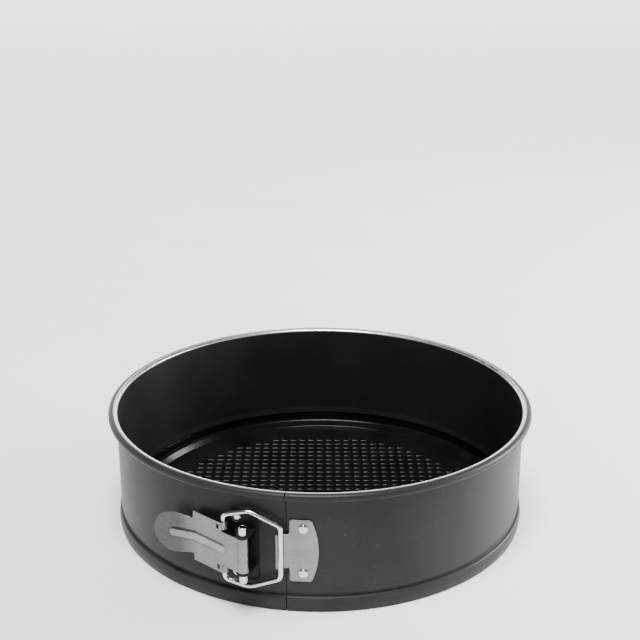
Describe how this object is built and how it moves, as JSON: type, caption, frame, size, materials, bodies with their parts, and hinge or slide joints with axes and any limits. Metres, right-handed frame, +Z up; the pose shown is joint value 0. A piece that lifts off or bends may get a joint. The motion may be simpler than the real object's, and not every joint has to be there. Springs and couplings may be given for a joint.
{
  "type": "springform pan",
  "caption": "Round baking pan whose sprung side band is clamped on a separate flat base by an over-centre lever and wire bail.",
  "frame": {"origin": "on the pan's axis, in the plane the pan stands on", "axes": "+Z up along the pan's axis; -Y towards the latch and the band's seam; +X towards the catch plate's side"},
  "size_m": [0.272, 0.2795, 0.076],
  "materials": {
    "nonstick_steel": "satin dark non-stick coating on pressed steel",
    "dark_steel": "dark coated pressed steel",
    "plated_steel": "plated steel sheet, faintly brushed",
    "bright_wire": "bright plated steel wire"
  },
  "bodies": {
    "base": {"base_plate": "nonstick_steel"},
    "band_left": {"band_left_half": "nonstick_steel", "hinge_bracket": "dark_steel", "hinge_pin": "plated_steel", "bracket_rivet_upper": "plated_steel", "bracket_rivet_lower": "plated_steel"},
    "band_right": {"band_right_half": "nonstick_steel", "catch_plate": "plated_steel", "catch_rivet_upper": "plated_steel", "catch_rivet_lower": "plated_steel"},
    "lever": {"lever": "plated_steel"},
    "bail": {"bail": "bright_wire"}
  },
  "joints": [
    {"name": "ring_lift", "type": "slide", "parent": "base", "child": "band_left", "axis": [0, 0, 1], "range_m": [0, 0.09]},
    {"name": "lever_swing", "type": "hinge", "parent": "band_left", "child": "lever", "pos_m": [-0.02299, -0.13962, 0.039], "axis": [0, 0, 1], "range_deg": [0, 150]},
    {"name": "bail_swing", "type": "hinge", "parent": "lever", "child": "bail", "pos_m": [-0.03535, -0.13204, 0.039], "axis": [0, 0, 1], "range_deg": [-170, 0]},
    {"name": "band_spring", "type": "hinge", "parent": "band_left", "child": "band_right", "pos_m": [0, 0.136, 0.039], "axis": [0, 0, 1], "range_deg": [0, 2.2]}
  ],
  "couplings": [
    {"joint": "bail_swing", "follows": "lever_swing", "ratio": -1.12},
    {"joint": "band_spring", "follows": "lever_swing", "ratio": 0.014}
  ]
}
